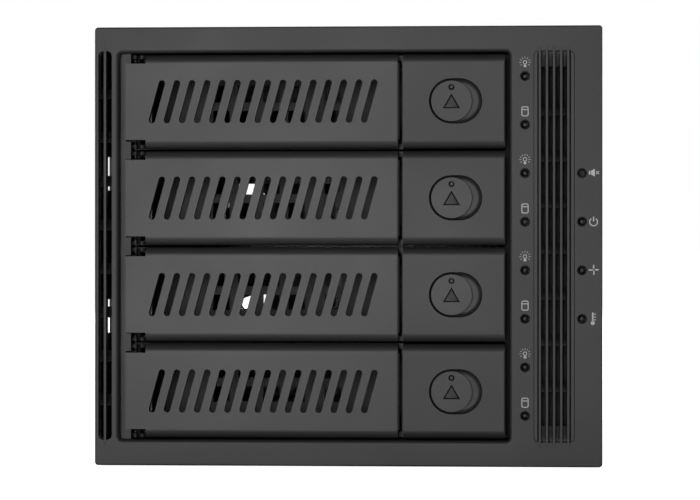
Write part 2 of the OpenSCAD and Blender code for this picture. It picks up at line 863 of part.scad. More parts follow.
module fan_frame()
    color("#202022") {
        difference() {
            union() {
                for (d = [gap, fan_t - frame_plate_t - gap])
                    on_fan_axis(fan_dep + d)
                        linear_extrude(frame_plate_t)
                            round_rect(-fan_size / 2, fan_size / 2, -fan_size / 2, fan_size / 2, 4);
                intersection() {
                    on_fan_axis(fan_dep + gap)
                        cylinder(h = fan_t - 2 * gap, r = fan_bore + 2.2);
                    on_fan_axis(fan_dep)
                        translate([-fan_size / 2, -fan_size / 2, 0])
                            cube([fan_size, fan_size, fan_t]);
                }
            }
            on_fan_axis(fan_dep - cut)
                cylinder(h = fan_t + 1, r = fan_bore);
            for (x = fan_hole * [-1, 1], z = fan_hole * [-1, 1])
                rod(fan_x + x, mid_z + z, fan_dep - cut, fan_dep + fan_t + cut, 2.15);
        }
        for (a = [0, 90, 180, 270])
            on_fan_axis(fan_dep + fan_t - frame_plate_t)
                rotate([0, 0, a + 20])
                    translate([10, -1.5, 0])
                        cube([fan_bore - 9.5, 3, strut_t]);
        on_fan_axis(fan_dep + fan_t - frame_plate_t)
            cylinder(h = strut_t, r = hub_r + cut);
        difference() {
            on_fan_axis(fan_dep + 4)
                cylinder(h = fan_t - 6, r = boss_out);
            on_fan_axis(fan_dep + 3)
                cylinder(h = fan_t - 6, r = bearing_r + 0.02);
        }
    }

module fan_bearing()
    color("#b8893f")
        difference() {
            on_fan_axis(fan_dep + 4.2)
                cylinder(h = 12, r = bearing_r);
            on_fan_axis(fan_dep + 3)
                cylinder(h = 15, r = shaft_r + gap);
        }

module fan_stator()
    color("#9a5a32")
        difference() {
            on_fan_axis(fan_dep + 6)
                cylinder(h = 8.5, r = 12.5);
            on_fan_axis(fan_dep + 5)
                cylinder(h = 11, r = boss_out + 0.02);
            for (a = [0:60:300])
                on_fan_axis(fan_dep + 5)
                    rotate([0, 0, a])
                        translate([7.5, -1, 0])
                            cube([6, 2, 11]);
        }

module fan_blade(a)
    on_fan_axis(fan_dep + 8.5)
        rotate([0, 0, a])
            intersection() {
                difference() {
                    translate([0, 0, -6.2])
                        cylinder(h = 12.4, r = 37.2);
                    translate([0, 0, -7])
                        cylinder(h = 14, r = hub_r - 0.3);
                }
                translate([12, 0, 0])
                    rotate([40, 0, 0])
                        translate([0, -11, -0.6])
                            cube([26, 22, 1.2]);
            }

module fan_rotor()
    color("#19191b") {
        difference() {
            on_fan_axis(fan_dep + 1.5)
                cylinder(h = 13.6, r = hub_r);
            on_fan_axis(fan_dep + 3)
                cylinder(h = 14, r = 13.6);
            on_fan_axis(fan_dep + 2)
                cylinder(h = 3, r = shaft_r + 0.02);
        }
        for (k = [0:blade_count - 1])
            fan_blade(k * 360 / blade_count);
    }

module fan_shaft()
    color("#c4c4c0")
        on_fan_axis(fan_dep + 2.1)
            cylinder(h = 14, r = shaft_r);

module fan_guard()
    color("#d2d2ce") {
        for (r = guard_rings)
            on_fan_axis(rear_dep + sheet_t + 1.3)
                rotate_extrude()
                    translate([r, 0])
                        circle(guard_r);
        for (a = [45, 135, 225, 315])
            on_fan_axis(rear_dep + sheet_t + 0.8)
                rotate([0, 0, a]) {
                    translate([guard_rings[0], 0, 0])
                        rotate([0, 90, 0])
                            cylinder(h = fan_hole * sqrt(2) - 10.9, r = guard_r);
                    translate([fan_hole * sqrt(2), 0, 0])
                        rotate_extrude()
                            translate([3.1, 0])
                                circle(guard_r);
                }
    }

module fan_screws()
    color("#b9b9b4")
        for (x = fan_hole * [-1, 1], z = fan_hole * [-1, 1]) {
            difference() {
                rod(fan_x + x, mid_z + z, rear_dep + sheet_t + 1.6, rear_dep + sheet_t + 2.6, 3.7);
                cross_recess(fan_x + x, mid_z + z, rear_dep + 3, rear_dep + 5, 2, 0.7);
            }
            rod(fan_x + x, mid_z + z, rear_dep - 9, rear_dep + sheet_t + 2, 2);
        }

// ---------------------------------------------------------------- trays

// Sled that carries one drive: two grooved sides joined by cross bars
module tray_frame(z) {
    x0 = tray_cx - drive_w / 2;
    x1 = tray_cx + drive_w / 2;
    color("#3a3a3d")
        difference() {
            union() {
                for (dep = bar_dep)
                    block(x0 - lap, x1 + lap, dep, dep + bar_w, z + frame_z[0], z + frame_z[0] + tray_base_t);
                for (x = [x0 - tray_wall, x1])
                    block(x, x + tray_wall, frame_dep, tray_end, z + frame_z[0], z + frame_z[1]);
                for (x = tongue_x)
                    block(x - tongue_t / 2, x + tongue_t / 2, frame_dep - tongue_l, frame_dep + 1,
                          z - tongue_half, z + tongue_half);
            }
            for (x = [x0 - tray_wall - 1, x1 + tray_wall - groove_d])
                block(x, x + groove_d + 1, frame_dep - cut, tray_end + cut,
                      z + rail_z0 - rail_play, z + rail_z0 + rail_h + rail_play);
            for (dep = drive_hole_dep) {
                cross_rod(x0 - tray_wall - cut, x1 + tray_wall + cut, dep, z + drive_hole_z,
                          drive_shank_r, drive_shank_r);
                cross_rod(x0 - tray_wall - cut, x0 - 1, dep, z + drive_hole_z, drive_head_r, drive_head_r);
                cross_rod(x1 + 1, x1 + tray_wall + cut, dep, z + drive_hole_z, drive_head_r, drive_head_r);
            }
        }
}

// Section of a tray front: rounded top and bottom edges, run back to a depth
module front_section(z, depth) {
    for (s = [-1, 1])
        translate([front_r, z + s * (half_h - front_r)])
            circle(front_r);
    translate([0, z - half_h + front_r])
        square([depth, front_h - 2 * front_r]);
    translate([front_r, z - half_h])
        square([depth - front_r, front_h]);
}

// Half of the finger well's section: distance from its middle, and depth
module well_section() {
    square([well_r, well_dep - well_cove]);
    square([well_r - well_cove, well_dep]);
    translate([well_r - well_cove, well_dep - well_cove])
        circle(well_cove);
    translate([0, -cut])
        square([well_r, cut]);
}

// Well with a coved edge, long enough for the disc to slide in
module latch_well(z) {
    for (x = [disc_x, disc_x + well_shift])
        translate([x, face_y, z])
            rotate([-90, 0, 0])
                rotate_extrude()
                    intersection() {
                        well_section();
                        translate([0, -cut])
                            square([well_r, well_dep + cut]);
                    }
    for (s = [0, 1])
        bar(disc_x, disc_x + well_shift)
            translate([0, z])
                mirror([0, s])
                    mirror([1, -1])
                        well_section();
}

// Solid front block on the right, an open frame behind the door on the left
module tray_front(z)
    color("#2e2e30") {
        inner = half_h - wall_t;
        wall_dep = frame_dep - 0.2 - back_wall;
        difference() {
            union() {
                bar(block_x0, block_x1)
                    front_section(z, frame_dep - 0.2);
                block(wing_x0, block_x0 + 1, wing_dep, frame_dep - 0.2, z - half_h, z + half_h);
            }
            block(block_x0 + wall_t, block_x1 - wall_t, block_t, wall_dep, z - inner, z + inner);
            block(wing_x0 + wall_t, block_x0 - cut, wing_dep - cut, wall_dep, z - inner, z + inner);
            block(wing_x0 - cut, block_x0 - cut, wing_dep - cut, wing_side_dep, z - inner, z + inner);
            block(block_x0 - 1, block_x0 + wall_t + cut, 9, wall_dep, z - inner, z + inner);
            block(block_x0 - cut, block_x0 + wall_t + cut, slide_dep - 0.1, slide_dep + slide_t + 0.2,
                  z - slot_half_z, z + slot_half_z);
            latch_well(z);
            sheet(-cut, block_t + cut) {
                for (x = [disc_x, disc_x + latch_travel])
                    translate([x, z])
                        circle(neck_r + 0.2);
                translate([disc_x, z - neck_r - 0.2])
                    square([latch_travel, 2 * neck_r + 0.4]);
                for (x = [disc_x, disc_x + latch_travel])
                    translate([x, z + mark_rise])
                        circle(mark_r[1] + 0.1);
                translate([disc_x, z + mark_rise - mark_r[1] - 0.1])
                    square([latch_travel, 2 * mark_r[1] + 0.2]);
            }
            end_rounding(block_x1, z, block_end_r);
            for (x = window_x, rise = window_z)
                block(x - window_w / 2, x + window_w / 2, wall_dep - cut, frame_dep + cut, z + rise[0],
                      z + rise[1]);
            for (at = ring_at)
                sheet(wall_dep - cut, wall_dep + back_wall / 2)
                    translate([at[0], z + at[1]])
                        difference() {
                            circle(ring_r[1]);
                            circle(ring_r[0]);
                        }
            for (x = tongue_x)
                block(x - tongue_t / 2 - 0.1, x + tongue_t / 2 + 0.1, wall_dep - cut, frame_dep + 1,
                      z - tongue_half - 0.1, z + tongue_half + 0.1);
        }
        // keeper rails behind the latch
        for (s = [-1, 1])
            block(block_x0 + wall_t - lap, block_x1 - wall_t + lap, slide_dep + slide_t + 0.2,
                  slide_dep + slide_t + 0.2 + keeper_t,
                  s < 0 ? z - inner - lap : z + keeper_z, s < 0 ? z - keeper_z : z + inner + lap);
        // stop for the latch spring
        block(block_x1 - wall_t - 1, block_x1 - wall_t + lap, stop_dep[0], stop_dep[1], z - 4, z + 4);
        // hooks that the hinge pin snaps into
        for (s = [-1, 1])
            difference() {
                translate([hinge_x, face_y + hinge_dep, z + s * (half_h - lug_t / 2 - 0.15) - lug_t / 2])
                    union() {
                        cylinder(h = lug_t, r = lug_r);
                        translate([-lug_r, 0, 0])
                            cube([2 * lug_r, wing_dep - hinge_dep + 0.5, lug_t]);
                    }
                translate([hinge_x, face_y + hinge_dep, z - half_h])
                    cylinder(h = front_h, r = pin_r + 0.02);
                block(hinge_x - lug_mouth / 2, hinge_x + lug_mouth / 2, 0, hinge_dep, z - half_h, z + half_h);
            }
    }

module slanted_slots(z)
    for (k = [0:slot_count - 1])
        translate([slot_x + k * slot_pitch, z])
            rotate(-slot_lean) {
                reach = (slot_h / 2 - slot_r) / cos(slot_lean);
                translate([-slot_r, -reach])
                    square([2 * slot_r, 2 * reach]);
                for (s = [-1, 1])
                    translate([0, s * reach])
                        circle(slot_r);
            }

module door(z)
    color("#313133")
        difference() {
            union() {
                difference() {
                    bar(notch_x, door_x1)
                        front_section(z, flange_dep);
                    block(notch_x + 1.5, door_x1 - 1.5, panel_t, flange_dep + cut,
                          z - half_h + flange_t, z + half_h - flange_t);
                }
                block(door_x0, notch_x + 1, 0, panel_t, z - tab_half, z + tab_half);
                translate([hinge_x, face_y + hinge_dep, z - tab_half])
                    cylinder(h = 2 * tab_half, r = barrel_r);
            }
            sheet(-cut, panel_t + cut)
                slanted_slots(z);
            translate([hinge_x, face_y + hinge_dep, z - half_h])
                cylinder(h = front_h, r = pin_r + gap);
            end_rounding(door_x1, z, door_end_r);
            // corner nicks and the catch pocket at the free end
            for (s = [-1, 1])
                block(door_x1 - nick_w, door_x1 + cut, -cut, flange_dep + cut,
                      s < 0 ? z - half_h - cut : z + half_h - nick_h,
                      s < 0 ? z - half_h + nick_h : z + half_h + cut);
            block(door_x1 - 1, door_x1 + cut, slide_dep - 0.1, slide_dep + slide_t + 0.3,
                  z - slot_half_z, z + slot_half_z);
        }

module hinge_pin(z)
    color("#28282a")
        translate([hinge_x, face_y + hinge_dep, z - half_h + 0.2])
            cylinder(h = front_h - 0.4, r = pin_r);

// Arrow on the disc of the tray at height z, drawn smaller by an inset all round
module arrow_outline(z, inset) {
    slope = sqrt(arrow_w * arrow_w / 4 + arrow_h * arrow_h);
    half = arrow_w / 2 - inset * (arrow_w / 2 + slope) / arrow_h;
    polygon([
        [disc_x - half, z - arrow_h / 2 + inset], [disc_x + half, z - arrow_h / 2 + inset],
        [disc_x, z + arrow_h / 2 - inset * 2 * slope / arrow_w]
    ]);
}

// Disc that shows in the well, on a plate that slides behind the panel
module latch_slider(z)
    color("#303032")
        difference() {
            union() {
                rod(disc_x, z, disc_dep, disc_back, disc_r);
                rod(disc_x, z, disc_back - 0.1, slide_dep + 0.1, neck_r);
                rod(disc_x, z + mark_rise, disc_back - 0.1, slide_dep + 0.1, mark_r[0]);
                block(slide_x[0], slide_x[1], slide_dep, slide_dep + slide_t, z - slide_half, z + slide_half);
                block(block_x0 + 0.2, slide_x[0] + 1, slide_dep, slide_dep + slide_t,
                      z - tongue_half_z, z + tongue_half_z);
                block(post_x[0], post_x[1], slide_dep, post_dep, z - 3.5, z + 3.5);
            }
            // arrow: a groove round a pad whose face bends away to the right
            difference() {
                sheet(-cut, arrow_groove)
                    arrow_outline(z, 0);
                sheet(-2 * cut, arrow_groove + cut)
                    arrow_outline(z, arrow_line);
            }
            difference() {
                sheet(-cut, disc_back)
                    arrow_outline(z, 0);
                translate([disc_x - arrow_w / 2, face_y + arrow_dep + arrow_curve, z - arrow_h])
                    cylinder(h = 2 * arrow_h, r = arrow_curve);
            }
            // round hole that a pin on the plate stands in
            sheet(-cut, slide_dep)
                translate([disc_x, z + mark_rise])
                    difference() {
                        circle(mark_r[1]);
                        circle(mark_r[0]);
                    }
        }

// Closed coil along X made as one tube swept round a helix
module coil(length, r, wire_r, turns, steps, sides) {
    count = turns * steps;
    points = [
        for (i = [0:count], j = [0:sides - 1])
            let (a = i * 360 / steps, b = j * 360 / sides, q = r + wire_r * cos(b))
                [length * i / count + wire_r * sin(b), q * cos(a), q * sin(a)]
    ];
    skin = [
        for (i = [0:count - 1], j = [0:sides - 1])
            let (k = (j + 1) % sides)
                [i * sides + j, i * sides + k, (i + 1) * sides + k, (i + 1) * sides + j]
    ];
    first = [for (j = [0:sides - 1]) sides - 1 - j];
    last = [for (j = [0:sides - 1]) count * sides + j];
    polyhedron(points = points, faces = concat(skin, [first, last]));
}

module latch_spring(z)
    color("#b0b0ab")
        translate([spring_x0, face_y + spring_dep, z])
            coil(block_x1 - wall_t - 1.6 - spring_x0, spring_r, spring_wire, 6, 12, 6);

bezel();
side_vent_grille();
front_vent_grille();
bay_light_pipes();
status_light_pipes();
indicator_board();
indicator_leds();
indicator_screws();
mute_switch();
mute_plunger();
left_side_panel();
right_side_panel();
top_cover();
bottom_cover();
rear_panel();
cage_screws();
left_guide();
right_guide();
backplane_board();
drive_sockets();
data_ports();
power_inlets();
alarm_buzzer();
board_standoffs();
board_screws();
ribbon_cable();
fan_header();
fan_cable();
fan_frame();
fan_bearing();
fan_stator();
fan_rotor();
fan_shaft();
fan_guard();
fan_screws();
tray_frame(row_z(0));  // tray_frame_1
tray_front(row_z(0));  // tray_front_1
door(row_z(0));  // door_1
hinge_pin(row_z(0));  // hinge_pin_1
latch_slider(row_z(0));  // latch_slider_1
latch_spring(row_z(0));  // latch_spring_1
tray_frame(row_z(1));  // tray_frame_2
tray_front(row_z(1));  // tray_front_2
door(row_z(1));  // door_2
hinge_pin(row_z(1));  // hinge_pin_2
latch_slider(row_z(1));  // latch_slider_2
latch_spring(row_z(1));  // latch_spring_2
tray_frame(row_z(2));  // tray_frame_3
tray_front(row_z(2));  // tray_front_3
door(row_z(2));  // door_3
hinge_pin(row_z(2));  // hinge_pin_3
latch_slider(row_z(2));  // latch_slider_3
latch_spring(row_z(2));  // latch_spring_3
tray_frame(row_z(3));  // tray_frame_4
tray_front(row_z(3));  // tray_front_4
door(row_z(3));  // door_4
hinge_pin(row_z(3));  // hinge_pin_4
latch_slider(row_z(3));  // latch_slider_4
latch_spring(row_z(3));  // latch_spring_4
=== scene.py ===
import json
import math

import bmesh
import bpy
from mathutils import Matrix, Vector


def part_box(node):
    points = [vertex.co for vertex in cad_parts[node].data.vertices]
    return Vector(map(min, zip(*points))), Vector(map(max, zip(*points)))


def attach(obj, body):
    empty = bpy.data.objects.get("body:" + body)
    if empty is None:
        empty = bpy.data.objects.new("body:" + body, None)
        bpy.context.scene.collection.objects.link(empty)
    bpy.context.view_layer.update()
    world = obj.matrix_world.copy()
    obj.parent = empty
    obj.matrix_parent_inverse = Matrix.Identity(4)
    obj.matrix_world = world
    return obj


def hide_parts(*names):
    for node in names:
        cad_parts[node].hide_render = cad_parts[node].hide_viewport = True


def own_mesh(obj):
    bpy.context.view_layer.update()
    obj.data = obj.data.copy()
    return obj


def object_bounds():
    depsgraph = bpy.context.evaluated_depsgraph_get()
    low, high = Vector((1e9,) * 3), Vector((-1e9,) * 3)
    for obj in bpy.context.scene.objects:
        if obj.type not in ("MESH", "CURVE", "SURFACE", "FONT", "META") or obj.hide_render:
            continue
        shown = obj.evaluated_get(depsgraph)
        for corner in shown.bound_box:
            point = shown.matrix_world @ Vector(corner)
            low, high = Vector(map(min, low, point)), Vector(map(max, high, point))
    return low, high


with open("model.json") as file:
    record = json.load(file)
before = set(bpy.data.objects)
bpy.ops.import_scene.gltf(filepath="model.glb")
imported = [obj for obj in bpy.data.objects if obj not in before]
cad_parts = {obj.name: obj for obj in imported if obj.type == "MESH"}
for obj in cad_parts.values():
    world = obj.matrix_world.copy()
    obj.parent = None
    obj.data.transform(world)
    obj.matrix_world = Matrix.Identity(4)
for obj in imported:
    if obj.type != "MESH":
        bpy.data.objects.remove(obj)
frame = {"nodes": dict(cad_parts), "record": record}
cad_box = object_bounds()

# One millimetre in the scene's metres
MM = 0.001
# Trays, from the top down
ROWS = (1, 2, 3, 4)
scene = bpy.context.scene
collection = scene.collection

# ------------------------------------------------------------------ places taken from the frame

bezel_low, bezel_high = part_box("bezel")
face_y = bezel_low.y
middle_z = (bezel_low.z + bezel_high.z) / 2


# ------------------------------------------------------------------ material helpers

# Radius of the edges that read as rubbed, on plastic and sheet steel, and on small metal parts
WORN_EDGE = 0.4 * MM
WORN_METAL_EDGE = 0.2 * MM
# Largest height of the finest bump, which only breaks up the highlights
FINE_RELIEF = 0.006 * MM


class Nodes:
    """A new material with short calls to add and join its nodes."""

    def __init__(self, name):
        self.material = bpy.data.materials.new(name)
        self.material.use_nodes = True
        self.tree = self.material.node_tree
        self.tree.nodes.clear()
        self.output = self.add("ShaderNodeOutputMaterial")
        self.bsdf = self.add("ShaderNodeBsdfPrincipled")
        self.join(self.bsdf, "BSDF", self.output, "Surface")
        self.coords = self.add("ShaderNodeTexCoord")

    def add(self, kind, **settings):
        node = self.tree.nodes.new(kind)
        for key, value in settings.items():
            setattr(node, key, value)
        return node

    def join(self, source, out, target, inp):
        self.tree.links.new(source.outputs[out], target.inputs[inp])

    def set(self, **values):
        for key, value in values.items():
            self.bsdf.inputs[key.replace("_", " ")].default_value = value

    def noise(self, size, detail=2.0, stretch=(1, 1, 1)):
        """Noise whose features are about size metres across."""
        mapping = self.add("ShaderNodeMapping")
        mapping.inputs["Scale"].default_value = stretch
        self.join(self.coords, "Object", mapping, "Vector")
        noise = self.add("ShaderNodeTexNoise")
        noise.inputs["Scale"].default_value = 1 / size
        noise.inputs["Detail"].default_value = detail
        self.join(mapping, "Vector", noise, "Vector")
        return noise

    def ramp(self, source, out, stops):
        """Maps a value through (place, grey) stops."""
        ramp = self.add("ShaderNodeValToRGB")
        while len(ramp.color_ramp.elements) < len(stops):
            ramp.color_ramp.elements.new(0.5)
        for element, (place, grey) in zip(ramp.color_ramp.elements, stops):
            element.position = place
            element.color = (grey, grey, grey, 1)
        self.join(source, out, ramp, "Fac")
        return ramp

    def mix(self, factor, factor_out, a, b):
        """Blends two colours, each a node with a Color output or a plain colour."""
        mix = self.add("ShaderNodeMix", data_type="RGBA")
        self.join(factor, factor_out, mix, "Factor")
        for value, socket in ((a, mix.inputs[6]), (b, mix.inputs[7])):
            if isinstance(value, tuple):
                socket.default_value = (*value, 1)
            else:
                self.tree.links.new(value, socket)
        return mix.outputs[2]

    def bump(self, source, out, height, previous=None):
        """Bump of a given height in metres, laid over an earlier bump."""
        bump = self.add("ShaderNodeBump")
        bump.inputs["Distance"].default_value = height
        bump.inputs["Strength"].default_value = 1.0
        self.join(source, out, bump, "Height")
        if previous is not None:
            self.join(previous, "Normal", bump, "Normal")
        return bump

    def edges(self, radius, strength):
        """A mask that is white along edges sharper than the radius."""
        bevel = self.add("ShaderNodeBevel", samples=4)
        bevel.inputs["Radius"].default_value = radius
        geometry = self.add("ShaderNodeNewGeometry")
        dot = self.add("ShaderNodeVectorMath", operation="DOT_PRODUCT")
        self.join(bevel, "Normal", dot, 0)
        self.join(geometry, "Normal", dot, 1)
        return self.ramp(dot, "Value", ((0.80, strength), (0.985, 0.0)))


def scaled(colour, factor):
    return tuple(channel * factor for channel in colour)


def moulded_plastic(name, colour, roughness, grain=0.22 * MM, wear=0.30, painted_shade_reach=0.0):
    """Injection-moulded plastic: spark-eroded grain, faint flow mottling, paler rubbed edges.

    The last argument, a reach in metres, paints shade into grooves narrower than that, with a darker colour
    and a weaker specular.
    """
    m = Nodes(name)
    fine = m.noise(grain, detail=3)
    broad = m.noise(30 * MM, detail=4)
    tint = m.ramp(broad, "Fac", ((0.35, 0.0), (0.65, 1.0)))
    base = m.mix(tint, "Color", scaled(colour, 0.95), scaled(colour, 1.05))
    speckle = m.ramp(fine, "Fac", ((0.35, 0.0), (0.75, 1.0)))
    grainy = m.mix(speckle, "Color", base, scaled(colour, 1.10))
    rubbed = m.edges(WORN_EDGE, wear)
    face = m.mix(rubbed, "Color", grainy, scaled(colour, 2.2))
    m.set(IOR=1.50, Specular_IOR_Level=0.5)
    if painted_shade_reach:
        # Painted shade: surfaces deep in a groove get a darker colour and a weaker specular, standing in for
        # the shade that falls there
        deep, shallow = 0.25, 0.62
        occlusion = m.add("ShaderNodeAmbientOcclusion", samples=8, only_local=True)
        occlusion.inputs["Distance"].default_value = painted_shade_reach
        shaded_sheen = m.ramp(occlusion, "AO", ((deep, 0.08), (shallow, 0.5)))
        m.join(shaded_sheen, "Color", m.bsdf, "Specular IOR Level")
        shade = m.ramp(occlusion, "AO", ((deep, 0.0), (shallow, 1.0)))
        face = m.mix(shade, "Color", scaled(colour, 0.15), face)
    m.tree.links.new(face, m.bsdf.inputs["Base Color"])
    rough = m.add("ShaderNodeMapRange")
    rough.inputs["To Min"].default_value = roughness - 0.05
    rough.inputs["To Max"].default_value = roughness + 0.06
    m.join(broad, "Fac", rough, "Value")
    m.join(rough, "Result", m.bsdf, "Roughness")
    m.join(m.bump(fine, "Fac", FINE_RELIEF), "Normal", m.bsdf, "Normal")
    return m.material


def powder_coat(name, colour):
    """Textured powder coat on sheet steel: fine orange-peel relief, bare metal glint on rubbed edges."""
    m = Nodes(name)
    peel = m.noise(0.9 * MM, detail=2)
    fine = m.noise(0.3 * MM, detail=2)
    broad = m.noise(50 * MM, detail=3)
    tint = m.ramp(broad, "Fac", ((0.3, 0.0), (0.7, 1.0)))
    base = m.mix(tint, "Color", scaled(colour, 0.88), scaled(colour, 1.15))
    rubbed = m.edges(WORN_EDGE, 0.55)
    patchy = m.add("ShaderNodeMath", operation="MULTIPLY")
    m.join(rubbed, "Color", patchy, 0)
    chips = m.ramp(m.noise(4 * MM, detail=4), "Fac", ((0.45, 0.0), (0.6, 1.0)))
    m.join(chips, "Color", patchy, 1)
    m.tree.links.new(m.mix(patchy, "Value", base, (0.22, 0.22, 0.22)), m.bsdf.inputs["Base Color"])
    m.join(patchy, "Value", m.bsdf, "Metallic")
    rough = m.ramp(fine, "Fac", ((0.3, 0.46), (0.7, 0.60)))
    m.join(rough, "Color", m.bsdf, "Roughness")
    first = m.bump(peel, "Fac", 0.03 * MM)
    m.join(m.bump(fine, "Fac", 0.01 * MM, first), "Normal", m.bsdf, "Normal")
    return m.material


def bare_metal(name, colour, roughness, brush=(1, 1, 1), tint=None):
    """Plated or ground metal: directional scratches, patchy sheen, worn lighter on edges."""
    m = Nodes(name)
    lines = m.noise(0.4 * MM, detail=3, stretch=brush)
    patches = m.ramp(m.noise(3 * MM, detail=3), "Fac", ((0.35, 0.0), (0.7, 1.0)))
    base = m.mix(patches, "Color", scaled(colour, 0.82), tint or scaled(colour, 1.08))
    rubbed = m.edges(WORN_METAL_EDGE, 0.5)
    m.tree.links.new(m.mix(rubbed, "Color", base, scaled(colour, 1.25)), m.bsdf.inputs["Base Color"])
    rough = m.add("ShaderNodeMapRange")
    rough.inputs["To Min"].default_value = roughness - 0.06
    rough.inputs["To Max"].default_value = roughness + 0.10
    m.join(lines, "Fac", rough, "Value")
    m.join(rough, "Result", m.bsdf, "Roughness")
    m.join(m.bump(lines, "Fac", FINE_RELIEF / 2), "Normal", m.bsdf, "Normal")
    m.set(Metallic=1.0)
    return m.material


TRACK_SCALE = 60


def circuit_board(name):
    """Green solder resist over fibre weave, with copper tracks raised under it."""
    m = Nodes(name)
    tracks = m.add("ShaderNodeTexBrick", offset=0.35, offset_frequency=3)
    mapping = m.add("ShaderNodeMapping")
    mapping.inputs["Rotation"].default_value = (math.pi / 2, 0, 0)
    mapping.inputs["Scale"].default_value = (TRACK_SCALE, TRACK_SCALE, TRACK_SCALE)
    m.join(m.coords, "Object", mapping, "Vector")
    m.join(mapping, "Vector", tracks, "Vector")
    tracks.inputs["Scale"].default_value = 3.0
    tracks.inputs["Mortar Size"].default_value = 0.035
    tracks.inputs["Mortar Smooth"].default_value = 0.2
    tracks.inputs["Color1"].default_value = (0, 0, 0, 1)
    tracks.inputs["Color2"].default_value = (0, 0, 0, 1)
    tracks.inputs["Mortar"].default_value = (1, 1, 1, 1)
    weave = m.noise(0.6 * MM, detail=1)
    base = m.mix(weave, "Fac", (0.006, 0.060, 0.025), (0.010, 0.085, 0.035))
    m.tree.links.new(m.mix(tracks, "Color", base, (0.016, 0.15, 0.06)), m.bsdf.inputs["Base Color"])
    m.join(m.ramp(weave, "Fac", ((0.3, 0.22), (0.7, 0.34))), "Color", m.bsdf, "Roughness")
    first = m.bump(tracks, "Color", 0.03 * MM)
    m.join(m.bump(weave, "Fac", FINE_RELIEF, first), "Normal", m.bsdf, "Normal")
    m.set(Coat_Weight=0.4, Coat_Roughness=0.15)
    return m.material


def screen_ink(name):
    """Pale screen-printed ink, a little uneven where the grain shows through."""
    m = Nodes(name)
    grain = m.noise(0.2 * MM, detail=3)
    m.tree.links.new(m.mix(grain, "Fac", (0.44, 0.44, 0.44), (0.56, 0.56, 0.56)), m.bsdf.inputs["Base Color"])
    m.join(m.ramp(grain, "Fac", ((0.3, 0.45), (0.7, 0.65))), "Color", m.bsdf, "Roughness")
    m.join(m.bump(grain, "Fac", 0.004 * MM), "Normal", m.bsdf, "Normal")
    return m.material


def soft_sleeve(name, colour, pitch=1.2 * MM):
    """Cable sleeve: soft plastic with faint ribs along it."""
    m = Nodes(name)
    wave = m.add("ShaderNodeTexWave", wave_type="BANDS", bands_direction="Z")
    m.join(m.coords, "Object", wave, "Vector")
    wave.inputs["Scale"].default_value = 0.3 / pitch
    wave.inputs["Distortion"].default_value = 0.4
    grain = m.noise(0.3 * MM, detail=2)
    tint = m.mix(grain, "Fac", scaled(colour, 0.85), scaled(colour, 1.2))
    m.tree.links.new(tint, m.bsdf.inputs["Base Color"])
    m.join(m.ramp(grain, "Fac", ((0.3, 0.42), (0.7, 0.58))), "Color", m.bsdf, "Roughness")
    first = m.bump(wave, "Color", 0.08 * MM)
    m.join(m.bump(grain, "Fac", FINE_RELIEF, first), "Normal", m.bsdf, "Normal")
    return m.material


# ------------------------------------------------------------------ materials for each record slot

FACE_BLACK = (0.020, 0.020, 0.0205)
TRAY_BLACK = (0.022, 0.022, 0.0225)
COARSE_GRAIN = 0.3 * MM
GLOSSY_GRAIN = 0.4 * MM

LOOKS = {
    "bezel_plastic": moulded_plastic("bezel_plastic", FACE_BLACK, 0.492),
    # The grille has painted shade in the channels between its ribs
    "grille_plastic": moulded_plastic("grille_plastic", FACE_BLACK, 0.492, painted_shade_reach=4 * MM),
    "front_plastic": moulded_plastic("front_plastic", FACE_BLACK, 0.480),
    "door_plastic": moulded_plastic("door_plastic", (0.024, 0.024, 0.0245), 0.452),
    # The latch has painted shade in its arrow, ring mark and well
    "latch_plastic": moulded_plastic("latch_plastic", (0.023, 0.023, 0.0235), 0.46, painted_shade_reach=2 * MM),
    "tray_plastic": moulded_plastic("tray_plastic", TRAY_BLACK, 0.52, grain=COARSE_GRAIN),
    "guide_plastic": moulded_plastic("guide_plastic", TRAY_BLACK, 0.55, grain=COARSE_GRAIN),
    "plunger_grey": moulded_plastic("plunger_grey", (0.014, 0.014, 0.014), 0.60),
    "cage_steel": powder_coat("cage_steel", (0.028, 0.028, 0.029)),
    "zinc_screws": bare_metal("zinc_screws", (0.62, 0.63, 0.62), 0.28, tint=(0.66, 0.66, 0.60)),
    "pin_steel": bare_metal("pin_steel", (0.60, 0.60, 0.59), 0.24, brush=(1, 1, 12)),
    "pin_black": bare_metal("pin_black", (0.014, 0.014, 0.0145), 0.62, brush=(1, 1, 12)),
    "guard_chrome": bare_metal("guard_chrome", (0.80, 0.80, 0.81), 0.12),
    "board_green": circuit_board("board_green"),
    "connector_black": moulded_plastic("connector_black", (0.020, 0.020, 0.021), 0.34, grain=GLOSSY_GRAIN),
    "port_red": moulded_plastic("port_red", (0.30, 0.022, 0.016), 0.36, grain=GLOSSY_GRAIN, wear=0.1),
    "nylon_white": moulded_plastic("nylon_white", (0.66, 0.63, 0.54), 0.42, grain=GLOSSY_GRAIN, wear=0.05),
    "light_pipe": moulded_plastic("light_pipe", (0.030, 0.030, 0.031), 0.55),
    "led_body": moulded_plastic("led_body", (0.70, 0.62, 0.35), 0.30, wear=0.05),
    "standoff_brass": bare_metal("standoff_brass", (0.66, 0.48, 0.20), 0.26, brush=(1, 10, 1)),
    "fan_plastic": moulded_plastic("fan_plastic", (0.022, 0.022, 0.023), 0.36, grain=0.5 * MM),
    "winding_copper": bare_metal("winding_copper", (0.55, 0.25, 0.12), 0.32, brush=(1, 12, 1)),
    "wire_sleeve": soft_sleeve("wire_sleeve", (0.022, 0.022, 0.022)),
    "ribbon_grey": soft_sleeve("ribbon_grey", (0.22, 0.225, 0.24)),
}
INK = screen_ink("screen_ink")

